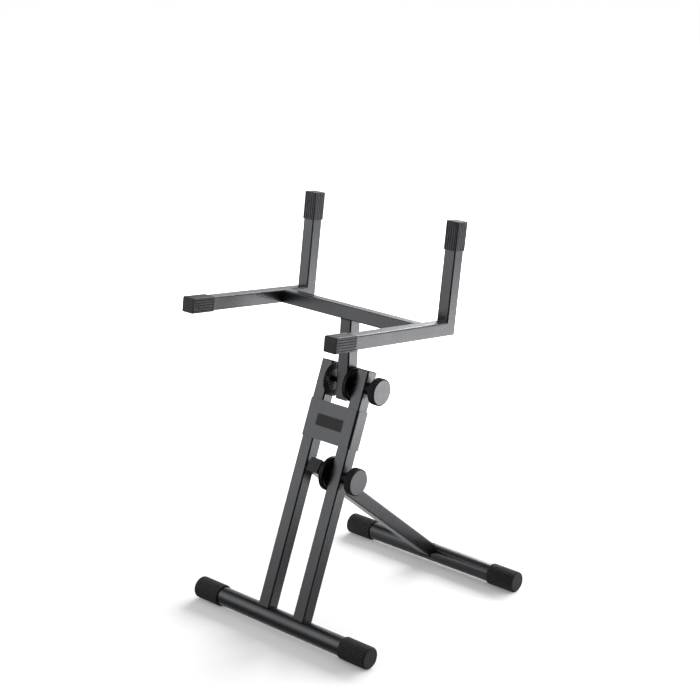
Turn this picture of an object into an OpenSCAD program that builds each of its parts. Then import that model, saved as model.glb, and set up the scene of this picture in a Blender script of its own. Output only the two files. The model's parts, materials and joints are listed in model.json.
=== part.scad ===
// Folding tilt-back stand with a two-armed seat.
// Two square uprights stand on a round front foot, and one square leg runs back to a round rear foot.
// A leg joint and a tilt joint, each with toothed clutch discs and a hand knob, hold the leg and the head.
// Z is up, +X is the side with the knobs, -Y is the front. Sizes are in millimetres and degrees.
// The origin is on the floor, at the middle of the stand's outline.

/* [Feet] */
// Length of each foot, over its two rubber caps
foot_length = 430; // [340:5:600]
// Distance from the front foot's axis to the rear foot's axis
foot_spacing = 444; // [380:2:520]
// Outer diameter of the round foot tubes
foot_tube_d = 36; // [28:1:45]
// Wall of the round foot tubes
foot_tube_wall = 1.6; // [1:0.1:3]
// Wall of the rubber foot caps around the tube
foot_cap_wall = 3; // [2:0.5:6]
// Length of each rubber foot cap
foot_cap_length = 62; // [40:1:90]
// Thickness of a foot cap's closed end
foot_cap_end = 4; // [3:0.5:10]
// Number of grooves around a foot cap
foot_groove_count = 28; // [16:4:36]
// Width of a groove in a foot cap
foot_groove_w = 2; // [1:0.1:2.4]

/* [Uprights] */
// Outer width of the square uprights
upright_size = 27; // [20:1:29]
// Clear gap between the two uprights
upright_gap = 60; // [56:1:90]
// How far the uprights lean back from vertical
upright_lean = 20.25; // [12:0.25:26]
// How far behind the front foot's axis the uprights' centre line passes
upright_set_back = 1.5; // [0:0.5:5]
// From the front foot's axis to the leg joint, along the uprights
leg_joint_at = 289; // [260:1:310]
// From the leg joint to the tilt joint, along the uprights
joint_spacing = 169; // [160:1:220]
// From the tilt joint to the top of the uprights
upright_above_joint = 32; // [24:1:50]

/* [Square tubes] */
// Wall of every square tube
tube_wall = 1.6; // [1:0.1:2.4]
// Outer corner radius of the uprights, the leg and the post
frame_corner_r = 3; // [1.5:0.1:4]
// Outer corner radius of the head's tubes and of their caps
head_corner_r = 2.5; // [1.5:0.1:4]
// Thickness of the flange on a plastic tube plug
plug_flange = 1.5; // [1:0.1:3]
// How deep a plastic plug reaches into its tube
plug_depth = 12; // [8:1:18]

/* [Brace] */
// Length of the sheet brace along the uprights
brace_length = 73; // [50:1:80]
// Sheet thickness of the brace
brace_wall = 2; // [1:0.1:3]
// From the tilt joint down to the brace's top edge
brace_below_joint = 43; // [40:1:52]
// Width of the bare label plate on the brace
label_w = 63; // [30:1:90]
// Height of the bare label plate
label_h = 23; // [12:1:40]
// Thickness of the label plate
label_t = 0.6; // [0.4:0.1:1.5]

/* [Clutch joints] */
// Diameter of a clutch disc
clutch_d = 65; // [50:1:70]
// Thickness of a clutch disc, from its hub face to its teeth
clutch_t = 7; // [6.5:0.25:10]
// Thickness of a clutch disc's rim
clutch_rim_t = 4; // [3:0.25:5]
// Diameter of a clutch disc's hub
clutch_hub_d = 22; // [16:1:28]
// Diameter of the smooth recess inside a clutch disc's teeth
clutch_recess_d = 40; // [34:1:46]
// Number of grooves between the teeth of a clutch disc
tooth_count = 36; // [18:2:48]
// Width of a groove between two teeth
tooth_groove_w = 1.4; // [0.8:0.1:1.8]
// Depth of a groove between two teeth
tooth_groove_depth = 0.9; // [0.8:0.1:1.1]
// Running gap between two clutch discs, and between a turning tube and its spacer
joint_gap = 0.2; // [0.1:0.05:0.3]
// Diameter of the two joint bolts
bolt_d = 8; // [8:1:10]
// Clearance around a bolt, on the radius
bolt_clearance = 0.1; // [0.05:0.01:0.1]
// Diameter of a bolt's domed head
bolt_head_d = 20; // [17:1:24]
// Height of a bolt's domed head
bolt_head_h = 5; // [3:0.5:7]
// Wall of the spacer sleeves on the bolts
spacer_wall = 1.2; // [1:0.1:3]
// Thickness of the shim ring between the leg and its clutch disc
leg_shim_t = 5.5; // [1:0.5:7]

/* [Knobs] */
// Diameter of a knob's grip
knob_d = 51; // [50:1:62]
// Height of a knob's grip
knob_grip_h = 14.5; // [10:0.5:20]
// Diameter of a knob's neck
knob_neck_d = 21; // [18:1:28]
// Length of a knob's neck
knob_neck_h = 15.5; // [10:0.5:24]
// Number of grooves around a knob's grip
knob_groove_count = 40; // [24:4:52]
// Diameter of the flat cap in a knob's face
knob_cap_d = 47; // [30:1:47]
// Thickness of a knob's face cap
knob_cap_t = 1.6; // [1:0.1:2.5]
// Diameter of the threaded metal insert in a knob
insert_d = 13; // [12.5:0.5:16]
// Thickness of the washer under a knob
washer_t = 1.5; // [1:0.1:3]

/* [Rear leg] */
// Outer width of the square leg tube
leg_size = 27; // [20:1:28]
// How far the leg tube runs past its joint, with its plug
leg_past_joint = 25; // [20:1:36]

/* [Head] */
// Outer width of the square post
post_size = 27; // [20:1:29]
// Outer width of the square arms, back rests and cross tube
head_size = 25; // [20:1:30]
// How far the post leans back from vertical
post_lean = 3; // [0:0.5:6]
// How far the post runs below the tilt joint, with its plug
post_below_joint = 31; // [24:1:34]
// How far the arms slope down towards the back
seat_tilt = 6; // [3:0.5:10]
// From the tilt joint up to the top of the arms, square to the arms
seat_height = 145; // [125:1:190]
// From the tilt joint forward to the front of the arm caps
arm_front = 253; // [200:1:300]
// From the tilt joint back to the front of the back rests
back_rest_at = 48; // [30:1:90]
// Height of the back rests above the arms, without their caps
back_rest_height = 178; // [100:2:240]
// Distance between the centre lines of the two arms
arm_spacing = 339; // [260:1:420]
// Length of a square rubber cap on an arm or a back rest
arm_cap_length = 52; // [30:1:60]
// Wall of a square rubber cap
arm_cap_wall = 1.5; // [1.2:0.1:3]
// Thickness of a square rubber cap's closed end
arm_cap_end = 3; // [2:0.5:6]
// Number of grooves on each side of a square rubber cap
arm_groove_count = 5; // [3:1:6]
// Width of a groove in a square rubber cap
arm_groove_w = 1.4; // [0.8:0.1:1.8]

/* [Hidden] */
$fn = 64;

// Colours
paint = "#3a3b3e";
rubber = "#262628";
plastic = "#1b1b1d";
plate = "#232322";
face_grey = "#77787c";
steel = "#9a9ca0";
brass = "#b08d4a";

// Overlap that carries a cut clean through a surface
cut = 1;
// Depth of the grooves in the foot caps, the arm caps and the knobs
foot_groove_depth = 1;
arm_groove_depth = 0.7;
knob_groove_depth = 0.8;
// Clear ring between a foot cap's mouth and the tube, and how deep it goes
mouth_gap = 1.5;
mouth_depth = 3;
// Rounding of a foot cap's end, of a knob's edges and of the small turned parts
foot_cap_round = 3;
knob_round = 1.2;
small_round = 0.6;
// Walls inside the hollow plastic plugs
plug_wall = 2;

// Feet
foot_cap_d = foot_tube_d + 2 * foot_cap_wall;
foot_axis_z = foot_cap_d / 2;
foot_tube_length = foot_length - 2 * foot_cap_end;

// Joints, seen in the side plane from the front foot's axis
tilt_joint_at = leg_joint_at + joint_spacing;
function up_y(along) = upright_set_back * cos(upright_lean) + along * sin(upright_lean);
function up_z(along) = along * cos(upright_lean) - upright_set_back * sin(upright_lean);
leg_joint_y = up_y(leg_joint_at);
leg_joint_z = up_z(leg_joint_at);
tilt_joint_y = up_y(tilt_joint_at);
tilt_joint_z = up_z(tilt_joint_at);
leg_length = norm([foot_spacing - leg_joint_y, leg_joint_z]);
leg_slope = atan2(leg_joint_z, foot_spacing - leg_joint_y);

// Places across the stand
upright_x = (upright_gap + upright_size) / 2;
gap_side = upright_gap / 2;
outer_side = gap_side + upright_size;
pair_t = 2 * clutch_t + joint_gap;
leg_side = gap_side - pair_t - leg_shim_t;
leg_x = leg_side - leg_size / 2;
post_side = gap_side - pair_t;
post_x = post_side - post_size / 2;
arm_x = arm_spacing / 2;

// Lengths along the bolts
bolt_bore_d = bolt_d + 2 * bolt_clearance;
spacer_d = bolt_bore_d + 2 * spacer_wall;
knob_h = knob_neck_h + knob_grip_h;
knob_cap_seat = knob_h - knob_cap_t / 2;
insert_start = 1;
insert_end = knob_neck_h + 3;
bolt_end_room = 3;
bolt_reach = washer_t + insert_end + bolt_end_room - 1;
bolt_length = 2 * outer_side + bolt_reach;
bolt_neck_h = tube_wall;

// Head, in its own frame at the tilt joint
post_to_head = seat_tilt - post_lean;
arm_base_z = seat_height - head_size;
arm_axis_z = seat_height - head_size / 2;
arm_cap_size = head_size + 2 * arm_cap_wall;
back_rest_y = back_rest_at + head_size / 2;
back_rest_top = seat_height + back_rest_height;
cross_y = -arm_axis_z * tan(post_to_head);

// The stand's foremost and rearmost points, which centre it on the origin
cap_low_z = arm_base_z - arm_cap_wall;
arm_tip_y = tilt_joint_y - arm_front * cos(seat_tilt) + cap_low_z * sin(seat_tilt);
front_y = min(arm_tip_y, -foot_cap_d / 2);
back_y = foot_spacing + foot_cap_d / 2;
middle_y = (front_y + back_y) / 2;

// ---------------------------------------------------------------- frames

// At the middle of the front foot's axis
module at_front_foot() {
    translate([0, -middle_y, foot_axis_z]) children();
}

// At the middle of the rear foot's axis
module at_rear_foot() {
    at_front_foot() translate([0, foot_spacing, 0]) children();
}

// Z runs up the uprights' shared centre line, from the front foot's axis
module along_uprights() {
    at_front_foot() rotate([-upright_lean, 0, 0]) translate([0, upright_set_back, 0]) children();
}

// On the leg joint's axis, square to the uprights
module at_leg_joint() {
    along_uprights() translate([0, 0, leg_joint_at]) children();
}

// On the tilt joint's axis, square to the uprights
module at_tilt_joint() {
    along_uprights() translate([0, 0, tilt_joint_at]) children();
}

// On the leg joint's axis, with Z along the leg, away from the rear foot
module along_leg() {
    at_front_foot() translate([0, leg_joint_y, leg_joint_z]) rotate([90 - leg_slope, 0, 0]) children();
}

// On the tilt joint's axis, with Y along the arms and Z square to them
module on_head() {
    at_front_foot() translate([0, tilt_joint_y, tilt_joint_z]) rotate([-seat_tilt, 0, 0]) children();
}

// On the tilt joint's axis, with Z along the post
module along_post() {
    on_head() rotate([post_to_head, 0, 0]) children();
}

// Turns a piece that is built along Z so that it runs towards +X from x
module facing_right(x) {
    translate([x, 0, 0]) rotate([0, 90, 0]) children();
}

// Turns a piece that is built along Z so that it runs towards -X from x
module facing_left(x) {
    translate([x, 0, 0]) rotate([0, -90, 0]) children();
}

// ---------------------------------------------------------------- shared shapes

// Square with round corners, centred
module rounded_square(size, r) {
    square([size, size - 2 * r], center = true);
    square([size - 2 * r, size], center = true);
    for (x = [-1, 1], y = [-1, 1]) {
        translate([x, y] * (size / 2 - r)) circle(r = r);
    }
}

// Square tube along Z, from z1 to z2, with rounded corners
module square_tube(size, corner_r, z1, z2) {
    translate([0, 0, z1]) linear_extrude(z2 - z1) difference() {
        rounded_square(size, corner_r);
        rounded_square(size - 2 * tube_wall, max(corner_r - tube_wall, 0.3));
    }
}

// Tube of the uprights, the leg and the post
module frame_tube(size, z1, z2) {
    square_tube(size, frame_corner_r, z1, z2);
}

// Tube of the arms, the back rests and the cross tube
module head_tube(z1, z2) {
    square_tube(head_size, head_corner_r, z1, z2);
}

// Hole for a joint bolt, across everything along X
module bolt_hole() {
    rotate([0, 90, 0]) cylinder(d = bolt_bore_d, h = 4 * outer_side, center = true);
}

// Round foot tube along X
module foot_tube() {
    rotate([0, 90, 0]) difference() {
        cylinder(d = foot_tube_d, h = foot_tube_length, center = true);
        cylinder(d = foot_tube_d - 2 * foot_tube_wall, h = foot_tube_length + cut, center = true);
    }
}

// Solid round bar along X that a square tube's end is notched over
module foot_notch() {
    rotate([0, 90, 0]) cylinder(d = foot_tube_d, h = 4 * outer_side, center = true);
}

// Ribbed round foot cap along Z, with its closed end at z = 0
module foot_cap() {
    r = foot_cap_d / 2;
    difference() {
        rotate_extrude() {
            translate([0, foot_cap_round]) square([r, foot_cap_length - foot_cap_round - small_round]);
            square([r - foot_cap_round, foot_cap_length]);
            translate([r - foot_cap_round, foot_cap_round]) circle(r = foot_cap_round);
            square([r - small_round, foot_cap_length]);
        }
        translate([0, 0, foot_cap_end]) cylinder(d = foot_tube_d, h = foot_cap_length);
        translate([0, 0, foot_cap_length - mouth_depth])
            cylinder(d = foot_tube_d + 2 * mouth_gap, h = mouth_depth + cut);
        for (i = [0 : foot_groove_count - 1]) {
            rotate((i + 0.5) * 360 / foot_groove_count)
                translate([r - foot_groove_depth, -foot_groove_w / 2, -cut])
                    cube([foot_cap_wall, foot_groove_w, foot_cap_length + 2 * cut]);
        }
    }
}

// The two ends of a foot: side is -1 for the left cap and 1 for the right one
module placed_foot_cap(side) {
    translate([side * foot_length / 2, 0, 0]) rotate([0, -side * 90, 0]) foot_cap();
}

// Plastic plug for a square tube, with its flange's outer face at z = 0 and its body below
module tube_plug(size) {
    bore = size - 2 * tube_wall;
    inner_r = max(frame_corner_r - tube_wall, 0.3);
    translate([0, 0, -plug_flange]) linear_extrude(plug_flange) rounded_square(size, frame_corner_r);
    difference() {
        translate([0, 0, -plug_flange - plug_depth])
            linear_extrude(plug_depth) rounded_square(bore, inner_r);
        translate([0, 0, -plug_flange - plug_depth - cut])
            linear_extrude(plug_depth - plug_wall + cut) square(bore - 2 * plug_wall, center = true);
    }
}

// Clutch disc along Z: hub face at z = 0, dished back, teeth at z = clutch_t
module clutch_disc() {
    r = clutch_d / 2;
    hub_r = clutch_hub_d / 2;
    rim_z = clutch_t - clutch_rim_t;
    web_z = clutch_t - clutch_rim_t * 0.7;
    land_w = 5;
    recess_r = clutch_recess_d / 2;
    recess_z = clutch_t - clutch_rim_t * 0.3;
    difference() {
        rotate_extrude() polygon([
            [bolt_bore_d / 2, 0], [hub_r, 0], [hub_r + 1, web_z], [r - land_w - 1.5, web_z],
            [r - land_w, rim_z], [r - small_round, rim_z], [r, rim_z + small_round],
            [r, clutch_t - small_round], [r - small_round, clutch_t], [recess_r, clutch_t],
            [recess_r - 1, recess_z], [bolt_bore_d / 2, recess_z]
        ]);
        for (i = [0 : tooth_count - 1]) {
            rotate((i + 0.5) * 360 / tooth_count)
                translate([recess_r - 1, -tooth_groove_w / 2, clutch_t - tooth_groove_depth])
                    cube([r, tooth_groove_w, clutch_t]);
        }
    }
}

// Joint bolt along Z: domed head below z = 0, square neck, then a plain shank
module joint_bolt() {
    head_r = bolt_head_d / 2;
    dome_r = (head_r * head_r + bolt_head_h * bolt_head_h) / (2 * bolt_head_h);
    rotate_extrude() intersection() {
        translate([0, -bolt_head_h]) square([head_r, bolt_head_h]);
        translate([0, dome_r - bolt_head_h]) circle(r = dome_r, $fn = 180);
    }
    translate([0, 0, bolt_neck_h / 2]) cube([bolt_d, bolt_d, bolt_neck_h], center = true);
    cylinder(d = bolt_d, h = bolt_length - 1);
    translate([0, 0, bolt_length - 1]) cylinder(d1 = bolt_d, d2 = bolt_d - 2, h = 1);
}

// Square hole for a bolt's neck through one wall of an upright, from z = 0
module neck_hole() {
    side = bolt_d + 2 * bolt_clearance;
    translate([0, 0, tube_wall / 2]) cube([side, side, tube_wall + 2 * cut], center = true);
}

// Plain ring along Z for a bolt
module bolt_ring(d, h) {
    difference() {
        cylinder(d = d, h = h);
        translate([0, 0, -cut]) cylinder(d = bolt_bore_d, h = h + 2 * cut);
    }
}

// Hand knob along Z: neck face at z = 0, grip with a face recess at the top
module knob_body() {
    r = knob_d / 2;
    neck_r = knob_neck_d / 2;
    flare = 3;
    difference() {
        rotate_extrude() {
            polygon([
                [0, 0], [neck_r, 0], [neck_r, knob_neck_h - flare], [neck_r + flare, knob_neck_h],
                [r - knob_round, knob_neck_h], [r, knob_neck_h + knob_round],
                [r, knob_h - knob_round], [r - knob_round, knob_h], [0, knob_h]
            ]);
        }
        translate([0, 0, knob_cap_seat]) cylinder(d = knob_cap_d, h = knob_cap_t);
        translate([0, 0, insert_start]) cylinder(d = insert_d, h = insert_end - insert_start);
        translate([0, 0, -cut]) cylinder(d = bolt_bore_d, h = insert_end + bolt_end_room + cut);
        for (i = [0 : knob_groove_count - 1]) {
            rotate((i + 0.5) * 360 / knob_groove_count)
                translate([r + 0.3, 0, knob_neck_h - cut])
                    cylinder(r = knob_groove_depth + 0.3, h = knob_grip_h + 2 * cut, $fn = 24);
        }
    }
}

// Flat face cap of a knob, from z = 0
module knob_face() {
    r = knob_cap_d / 2;
    rotate_extrude() polygon([
        [0, 0], [r, 0], [r, knob_cap_t - small_round / 2], [r - small_round / 2, knob_cap_t], [0, knob_cap_t]
    ]);
}

// Everything of one knob that starts at its neck face
module at_knob(joint_side) {
    facing_right(joint_side + washer_t) children();
}

// Ribbed square cap along Z, with its closed end at z = 0
module arm_cap() {
    pitch = arm_cap_size / (arm_groove_count + 1);
    difference() {
        linear_extrude(arm_cap_length) rounded_square(arm_cap_size, head_corner_r);
        translate([0, 0, arm_cap_end]) linear_extrude(arm_cap_length) rounded_square(head_size, head_corner_r);
        for (turn = [0 : 90 : 270], i = [1 : arm_groove_count]) {
            rotate(turn)
                translate([
                    arm_cap_size / 2 - arm_groove_depth,
                    i * pitch - arm_cap_size / 2 - arm_groove_w / 2,
                    arm_cap_end
                ])
                    cube([arm_cap_wall, arm_groove_w, arm_cap_length]);
        }
    }
}

// Half space on the far side of the mitre between an arm and its back rest
module mitre_block(turn) {
    block = 6 * head_size;
    translate([0, back_rest_at, seat_height])
        rotate([turn, 0, 0])
            translate([-block / 2, -block / 2, 0]) cube(block);
}

// ---------------------------------------------------------------- front frame

module front_foot_tube() {
    color(paint) at_front_foot() foot_tube();
}

module front_foot_cap(side) {
    color(rubber) at_front_foot() placed_foot_cap(side);
}

// One upright, notched over the foot tube and drilled for both bolts
module upright(side) {
    color(paint) difference() {
        along_uprights() difference() {
            translate([side * upright_x, 0, 0])
                frame_tube(upright_size, 0, tilt_joint_at + upright_above_joint - plug_flange);
            for (at = [leg_joint_at, tilt_joint_at]) {
                translate([0, 0, at]) bolt_hole();
                translate([-outer_side, 0, at]) rotate([0, 90, 0]) neck_hole();
            }
        }
        at_front_foot() foot_notch();
    }
}

module upright_plug(side) {
    color(plastic) along_uprights()
        translate([side * upright_x, 0, tilt_joint_at + upright_above_joint]) tube_plug(upright_size);
}

// Sheet channel across the front of both uprights and round their outer sides
module brace() {
    half = upright_size / 2;
    wide = 2 * outer_side;
    top = tilt_joint_at - brace_below_joint;
    bend_r = frame_corner_r + brace_wall;
    color(paint) along_uprights() translate([0, 0, top - brace_length]) linear_extrude(brace_length)
        difference() {
            union() {
                translate([-wide / 2 - brace_wall, -half - brace_wall + bend_r])
                    square([wide + 2 * brace_wall, upright_size + brace_wall - bend_r]);
                translate([-wide / 2 - brace_wall + bend_r, -half - brace_wall])
                    square([wide + 2 * brace_wall - 2 * bend_r, bend_r]);
                for (side = [-1, 1]) {
                    translate([side * (wide / 2 + brace_wall - bend_r), -half - brace_wall + bend_r])
                        circle(r = bend_r);
                }
            }
            translate([-wide / 2, -half + frame_corner_r]) square([wide, upright_size]);
            translate([-wide / 2 + frame_corner_r, -half]) square([wide - 2 * frame_corner_r, upright_size]);
            for (side = [-1, 1]) {
                translate([side * (wide / 2 - frame_corner_r), -half + frame_corner_r])
                    circle(r = frame_corner_r);
            }
        }
}

// Bare plate at the middle of the brace
module label_plate() {
    middle = tilt_joint_at - brace_below_joint - brace_length / 2;
    color(plate) along_uprights()
        translate([-label_w / 2, -upright_size / 2 - brace_wall - label_t, middle - label_h / 2])
            cube([label_w, label_t, label_h]);
}

// ---------------------------------------------------------------- what each joint holds

module placed_bolt() {
    facing_right(-outer_side) joint_bolt();
}

module leg_bolt() {
    color(steel) at_leg_joint() placed_bolt();
}

// Sleeve from the left upright to the leg
module leg_spacer() {
    sleeve = leg_x - leg_size / 2 + gap_side - joint_gap;
    color(plastic) at_leg_joint() facing_right(-gap_side) bolt_ring(spacer_d, sleeve);
}

module leg_washer() {
    color(plastic) at_leg_joint() facing_right(outer_side) bolt_ring(knob_neck_d + 2, washer_t);
}

module leg_clutch_fixed() {
    color(plastic) at_leg_joint() facing_left(gap_side) clutch_disc();
}

module tilt_bolt() {
    color(steel) at_tilt_joint() placed_bolt();
}

// Sleeve from the left clutch disc to the post
module tilt_spacer() {
    start = -gap_side + clutch_t - clutch_rim_t * 0.3;
    sleeve = post_x - post_size / 2 - start - joint_gap;
    color(plastic) at_tilt_joint() facing_right(start) bolt_ring(spacer_d, sleeve);
}

module tilt_washer() {
    color(plastic) at_tilt_joint() facing_right(outer_side) bolt_ring(knob_neck_d + 2, washer_t);
}

module tilt_clutch_fixed() {
    color(plastic) at_tilt_joint() facing_left(gap_side) clutch_disc();
}

module tilt_clutch_left() {
    color(plastic) at_tilt_joint() facing_right(-gap_side) clutch_disc();
}

// ---------------------------------------------------------------- rear leg

module leg_tube() {
    color(paint) difference() {
        along_leg() difference() {
            translate([leg_x, 0, 0]) frame_tube(leg_size, -leg_length, leg_past_joint - plug_flange);
            bolt_hole();
        }
        at_rear_foot() foot_notch();
    }
}

module leg_plug() {
    color(plastic) along_leg() translate([leg_x, 0, leg_past_joint]) tube_plug(leg_size);
}

module leg_shim() {
    color(plastic) along_leg() facing_right(leg_side) bolt_ring(clutch_hub_d, leg_shim_t);
}

module leg_clutch_turning() {
    color(plastic) along_leg() facing_right(leg_side + leg_shim_t) clutch_disc();
}

module rear_foot_tube() {
    color(paint) at_rear_foot() foot_tube();
}

module rear_foot_cap(side) {
    color(rubber) at_rear_foot() placed_foot_cap(side);
}

// ---------------------------------------------------------------- head

// Post, cut off flat against the underside of the cross tube
module post_tube() {
    color(paint) difference() {
        along_post() difference() {
            translate([post_x, 0, 0]) frame_tube(post_size, plug_flange - post_below_joint, seat_height);
            bolt_hole();
        }
        on_head() translate([-outer_side, -outer_side, arm_base_z]) cube(2 * outer_side);
    }
}

module post_plug() {
    color(plastic) along_post() translate([post_x, 0, -post_below_joint]) mirror([0, 0, 1]) tube_plug(post_size);
}

module tilt_clutch_turning() {
    color(plastic) along_post() facing_right(post_side) clutch_disc();
}

// Cross tube between the inner sides of the arms
module cross_tube() {
    half = arm_x - head_size / 2;
    color(paint) on_head() translate([0, cross_y, arm_axis_z]) rotate([0, 90, 0]) head_tube(-half, half);
}

// Arm from inside its front cap to the mitre at the back
module arm(side) {
    color(paint) on_head() difference() {
        translate([side * arm_x, 0, arm_axis_z]) rotate([90, 0, 0])
            head_tube(-back_rest_at - head_size, arm_front - arm_cap_end);
        translate([side * arm_x, 0, 0]) mitre_block(-45);
    }
}

module arm_end_cap(side) {
    color(rubber) on_head() translate([side * arm_x, -arm_front, arm_axis_z]) rotate([-90, 0, 0]) arm_cap();
}

// Back rest from the mitre to inside its top cap
module back_rest(side) {
    color(paint) on_head() difference() {
        translate([side * arm_x, back_rest_y, 0]) head_tube(arm_base_z, back_rest_top);
        translate([side * arm_x, 0, 0]) mitre_block(135);
    }
}

module back_rest_cap(side) {
    color(rubber) on_head() translate([side * arm_x, back_rest_y, back_rest_top + arm_cap_end])
        mirror([0, 0, 1]) arm_cap();
}

// ---------------------------------------------------------------- knobs

module leg_knob() {
    color(plastic) at_leg_joint() at_knob(outer_side) knob_body();
}

module leg_knob_cap() {
    color(face_grey) at_leg_joint() at_knob(outer_side) translate([0, 0, knob_cap_seat]) knob_face();
}

module leg_knob_insert() {
    color(brass) at_leg_joint() at_knob(outer_side) translate([0, 0, insert_start])
        bolt_ring(insert_d, insert_end - insert_start);
}

module tilt_knob() {
    color(plastic) at_tilt_joint() at_knob(outer_side) knob_body();
}

module tilt_knob_cap() {
    color(face_grey) at_tilt_joint() at_knob(outer_side) translate([0, 0, knob_cap_seat]) knob_face();
}

module tilt_knob_insert() {
    color(brass) at_tilt_joint() at_knob(outer_side) translate([0, 0, insert_start])
        bolt_ring(insert_d, insert_end - insert_start);
}

// ---------------------------------------------------------------- what is drawn

front_foot_tube();
front_foot_cap(-1);  // front_foot_cap_left
front_foot_cap(1);  // front_foot_cap_right
upright(-1);  // upright_left
upright(1);  // upright_right
upright_plug(-1);  // upright_plug_left
upright_plug(1);  // upright_plug_right
brace();
label_plate();
leg_bolt();
leg_spacer();
leg_washer();
leg_clutch_fixed();
tilt_bolt();
tilt_spacer();
tilt_washer();
tilt_clutch_fixed();
tilt_clutch_left();
leg_tube();
leg_plug();
leg_shim();
leg_clutch_turning();
rear_foot_tube();
rear_foot_cap(-1);  // rear_foot_cap_left
rear_foot_cap(1);  // rear_foot_cap_right
post_tube();
post_plug();
tilt_clutch_turning();
cross_tube();
arm(-1);  // arm_left
arm(1);  // arm_right
arm_end_cap(-1);  // arm_cap_left
arm_end_cap(1);  // arm_cap_right
back_rest(-1);  // back_rest_left
back_rest(1);  // back_rest_right
back_rest_cap(-1);  // back_rest_cap_left
back_rest_cap(1);  // back_rest_cap_right
leg_knob();
leg_knob_cap();
leg_knob_insert();
tilt_knob();
tilt_knob_cap();
tilt_knob_insert();
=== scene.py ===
# %% [markdown]
# # Dressing a folding tilt-back stand
#
# The stand is made of powder-coated steel tube with rubber feet, moulded clutch discs and two hand knobs.
# Its exact shapes and its joints come from a CAD frame. In this notebook we give it the looks: pieces
# with the small detail that the frame leaves out, the finishes, a soft studio and a camera.
# Every length is in metres, and every piece is made where it belongs, so nothing needs to be moved later.

# %% Load the frame
import json
import math

import bmesh
import bpy
from mathutils import Matrix, Vector, noise


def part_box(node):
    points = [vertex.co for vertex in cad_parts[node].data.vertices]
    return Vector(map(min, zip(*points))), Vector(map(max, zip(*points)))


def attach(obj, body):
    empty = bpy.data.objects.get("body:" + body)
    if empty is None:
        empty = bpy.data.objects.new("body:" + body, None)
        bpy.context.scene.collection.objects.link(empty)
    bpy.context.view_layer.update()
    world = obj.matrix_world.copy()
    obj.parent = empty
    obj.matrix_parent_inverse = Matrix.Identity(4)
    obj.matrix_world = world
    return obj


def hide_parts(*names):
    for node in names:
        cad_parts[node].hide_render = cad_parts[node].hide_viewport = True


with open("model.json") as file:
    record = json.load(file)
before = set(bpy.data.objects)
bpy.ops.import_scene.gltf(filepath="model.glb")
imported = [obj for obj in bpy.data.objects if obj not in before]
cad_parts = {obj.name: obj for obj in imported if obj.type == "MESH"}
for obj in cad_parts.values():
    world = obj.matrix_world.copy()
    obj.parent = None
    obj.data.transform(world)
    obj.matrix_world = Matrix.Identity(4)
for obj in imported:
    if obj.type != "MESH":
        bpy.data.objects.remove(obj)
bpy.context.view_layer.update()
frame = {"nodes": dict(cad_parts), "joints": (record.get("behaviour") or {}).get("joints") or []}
mm = 0.001

# %% [markdown]
# ## Places to build on
#
# A maker marks out a few centre lines first and measures everything from them. Here these are the axes of
# the two round feet and of the two joints. The uprights and the head lean, so each gets a matrix, a small
# frame of its own: a piece is shaped at the origin in its simplest position, and the matrix then carries
# its mesh into place. Places could also be typed in one by one, but then they would not follow the frame.

# %% Mark out the centre lines
joint_at = {joint["name"]: Vector(joint["pos_m"]) for joint in frame["joints"]}
foot_box = {end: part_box(end + "_foot_tube") for end in ("front", "rear")}
foot_axis = {end: (low + high) / 2 for end, (low, high) in foot_box.items()}

between_joints = joint_at["head_tilt"] - joint_at["leg_fold"]
lean = math.atan2(between_joints.y, between_joints.z)
seat_tilt = math.radians(6)
frame_tube, brace_wall = 27 * mm, 2 * mm

tip_back = Matrix.Rotation(-lean, 4, "X")
on_uprights = Matrix.Translation(joint_at["head_tilt"]) @ tip_back
on_head = Matrix.Translation(joint_at["head_tilt"]) @ Matrix.Rotation(-seat_tilt, 4, "X")
print("uprights lean", round(math.degrees(lean), 2), "degrees")

# %% [markdown]
# ## Finishing a mesh
#
# Every new piece ends in the same few steps, so one helper does them for all. Doubled points are merged, the
# faces are turned outwards, and curved areas are shaded smooth while real corners stay sharp. The Weighted
# Normal modifier keeps the big flat faces flat next to their small rounded edges, as on a machined or
# moulded part. A second helper rounds edges, because bmesh's bevel has other defaults than the editor's.

# %% Helpers that finish a piece and round its edges
same_point = 0.002 * mm


def finish_piece(name, shape, finish, body, stands_for=(), sharp_from=38):
    """Makes the piece. Edges that turn by more than sharp_from degrees stay sharp."""
    bmesh.ops.remove_doubles(shape, verts=shape.verts, dist=same_point)
    bmesh.ops.recalc_face_normals(shape, faces=shape.faces)
    for face in shape.faces:
        face.smooth = True
    for edge in shape.edges:
        edge.smooth = edge.is_manifold and edge.calc_face_angle(0) < math.radians(sharp_from)
    mesh = bpy.data.meshes.new(name)
    shape.to_mesh(mesh)
    shape.free()
    mesh.materials.append(finish)
    piece = bpy.data.objects.new(name, mesh)
    bpy.context.scene.collection.objects.link(piece)
    even = piece.modifiers.new("even shading", "WEIGHTED_NORMAL")
    even.keep_sharp = True
    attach(piece, body)
    if stands_for:
        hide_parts(*stands_for)
    print(name, len(mesh.polygons), "faces")


def rounded(shape, edges, offset, segments, clamp=False):
    """Rounds these edges of a bmesh and returns the new faces."""
    return bmesh.ops.bevel(
        shape, geom=edges, offset=offset, offset_type="OFFSET", affect="EDGES", segments=segments,
        profile=0.5, material=-1, clamp_overlap=clamp,
    )["faces"]

# %% [markdown]
# ## The parts of a finish
#
# A real finish is never one flat colour: paint has a fine skin, rubber has grain, and plastic copies the
# texture of its mould. Pictures of such surfaces could be wrapped round the pieces, but they blur close up
# and show seams. So each finish below is computed, and built from the same few bricks. The first brick
# starts a shader. Its gloss is tinted very slightly blue, as daylight is on black things.

# %% Helper that starts a finish
# Painted tint of cool light: the blue in every finish's gloss stands for the colour of the light.
cool_gloss = (0.92, 0.94, 1.0, 1)


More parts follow.
